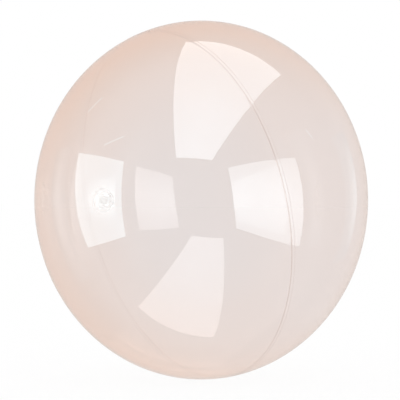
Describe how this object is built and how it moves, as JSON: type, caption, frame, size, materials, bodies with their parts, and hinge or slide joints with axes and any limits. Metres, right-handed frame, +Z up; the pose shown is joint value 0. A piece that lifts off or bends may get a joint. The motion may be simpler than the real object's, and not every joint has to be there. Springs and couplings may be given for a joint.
{
  "type": "inflatable beach ball",
  "caption": "Blown-up ball of clear, faintly tinted film in two welded panels, with a push-in valve, tethered stopper and check flap.",
  "frame": {"origin": "centre of the blown-up ball", "axes": "+Z up along the ball's longer axis; -Y towards the side that the smaller, front panel mostly covers"},
  "size_m": [0.3999, 0.4, 0.43],
  "materials": {
    "tinted_film": "clear, high gloss, faint peach tint",
    "valve_vinyl": "clear soft vinyl, satin",
    "stopper_vinyl": "milky clear vinyl, satin",
    "flap_film": "thin clear film"
  },
  "bodies": {
    "skin": {"front_panel": "tinted_film", "rear_panel": "tinted_film", "valve_flange": "valve_vinyl", "valve_boot": "valve_vinyl"},
    "stem": {"valve_stem": "valve_vinyl", "tether_ring": "stopper_vinyl", "plug_strap": "stopper_vinyl"},
    "stopper": {"valve_plug": "stopper_vinyl"},
    "flap": {"check_flap": "flap_film"}
  },
  "joints": [
    {"name": "stem_slide", "type": "slide", "parent": "skin", "child": "stem", "axis": [-0.6468, 0.7627, 0], "range_m": [0, 0.016], "deforming": ["valve_boot"]},
    {"name": "plug_pull", "type": "slide", "parent": "stem", "child": "stopper", "axis": [-0.6468, 0.7627, 0], "range_m": [0, 0.009], "deforming": ["plug_strap"]},
    {"name": "flap_swing", "type": "hinge", "parent": "stem", "child": "flap", "pos_m": [-0.11899, 0.14031, 0.0056], "axis": [-0.7627, -0.6468, 0], "range_deg": [0, 60], "stiffness_Nm_per_rad": 0.00005}
  ]
}
